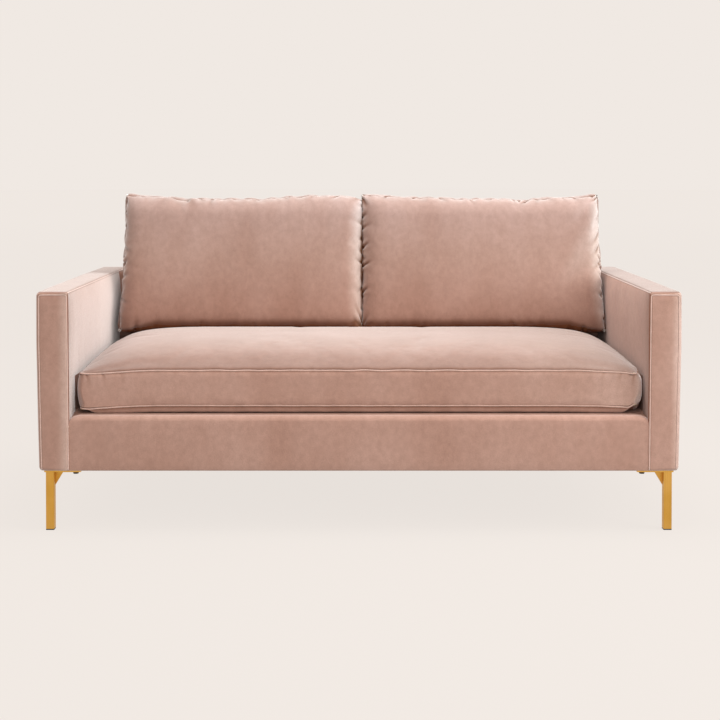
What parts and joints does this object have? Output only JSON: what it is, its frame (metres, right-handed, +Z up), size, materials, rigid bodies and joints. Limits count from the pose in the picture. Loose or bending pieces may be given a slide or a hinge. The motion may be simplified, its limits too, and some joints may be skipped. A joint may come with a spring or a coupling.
{
  "type": "tuxedo sofa",
  "caption": "Low velvet loveseat whose arms and back share one height, with a bench seat cushion, loose back cushions and slim square brass-finished legs.",
  "frame": {"origin": "on the floor, under the middle of the box round the whole sofa", "axes": "+X to the right as seen from the front, the front faces -Y, +Z up"},
  "size_m": [1.728, 0.9, 0.8848],
  "materials": {
    "velvet": "dusty pink cut velvet with a soft sheen",
    "deck_cloth": "plain woven cotton",
    "dust_cloth": "black non-woven cloth",
    "foam": "open-cell foam",
    "fibre_fill": "polyester fibre",
    "webbing": "elastic webbing",
    "frame_wood": "planed pine and poplar",
    "hardboard": "smooth hardboard",
    "brass_finish": "satin brass",
    "bolt_steel": "blackened steel",
    "plain_steel": "bright zinc",
    "foot_plastic": "black plastic",
    "zip_metal": "aged brass"
  },
  "bodies": {
    "frame": {"arm_front_post_left": "frame_wood", "arm_front_post_right": "frame_wood", "arm_rear_post_left": "frame_wood", "arm_rear_post_right": "frame_wood", "arm_bottom_rail_left": "frame_wood", "arm_bottom_rail_right": "frame_wood", "arm_top_rail_left": "frame_wood", "arm_top_rail_right": "frame_wood", "arm_inner_lining_left": "hardboard", "arm_inner_lining_right": "hardboard", "arm_outer_lining_left": "hardboard", "arm_outer_lining_right": "hardboard", "arm_foam_left": "foam", "arm_foam_right": "foam", "arm_cover_left": "velvet", "arm_cover_right": "velvet", "back_bottom_rail": "frame_wood", "back_top_rail": "frame_wood", "back_ribs": "frame_wood", "back_webbing": "webbing", "back_lining": "hardboard", "back_foam": "foam", "back_cover": "velvet", "front_rail": "frame_wood", "rear_rail": "frame_wood", "side_rail_left": "frame_wood", "side_rail_right": "frame_wood", "seat_stretchers": "frame_wood", "corner_blocks": "frame_wood", "seat_springs": "plain_steel", "spring_clips": "plain_steel", "spring_tie_wires": "plain_steel", "deck_pad": "foam", "deck_cover": "deck_cloth", "front_rail_foam": "foam", "front_rail_cover": "velvet", "dust_cover": "dust_cloth", "leg_front_left": "brass_finish", "leg_front_right": "brass_finish", "leg_rear_left": "brass_finish", "leg_rear_right": "brass_finish", "leg_feet": "foot_plastic", "leg_bolts": "bolt_steel", "arm_bolts": "plain_steel", "threaded_inserts": "plain_steel", "frame_screws": "plain_steel"},
    "seat_cushion": {"seat_cushion_cover": "velvet", "seat_cushion_core": "foam", "seat_zip_tape": "webbing"},
    "seat_zip_slider": {"seat_zip_slider": "zip_metal"},
    "back_cushion_left": {"back_cushion_cover_left": "velvet", "back_cushion_fill_left": "fibre_fill", "back_zip_tape_left": "webbing"},
    "back_zip_slider_left": {"back_zip_slider_left": "zip_metal"},
    "back_cushion_right": {"back_cushion_cover_right": "velvet", "back_cushion_fill_right": "fibre_fill", "back_zip_tape_right": "webbing"},
    "back_zip_slider_right": {"back_zip_slider_right": "zip_metal"}
  },
  "joints": [
    {"name": "seat_cushion_slide", "type": "slide", "parent": "frame", "child": "seat_cushion", "axis": [0, -1, 0], "range_m": [0, 0.36]},
    {"name": "back_cushion_left_lift", "type": "slide", "parent": "frame", "child": "back_cushion_left", "axis": [0, 0, 1], "range_m": [0, 0.3]},
    {"name": "back_cushion_right_lift", "type": "slide", "parent": "frame", "child": "back_cushion_right", "axis": [0, 0, 1], "range_m": [0, 0.3]},
    {"name": "seat_zip_run", "type": "slide", "parent": "seat_cushion", "child": "seat_zip_slider", "axis": [-1, 0, 0], "range_m": [0, 1.27]},
    {"name": "back_zip_left_run", "type": "slide", "parent": "back_cushion_left", "child": "back_zip_slider_left", "axis": [1, 0, 0], "range_m": [0, 0.5]},
    {"name": "back_zip_right_run", "type": "slide", "parent": "back_cushion_right", "child": "back_zip_slider_right", "axis": [-1, 0, 0], "range_m": [0, 0.5]}
  ]
}
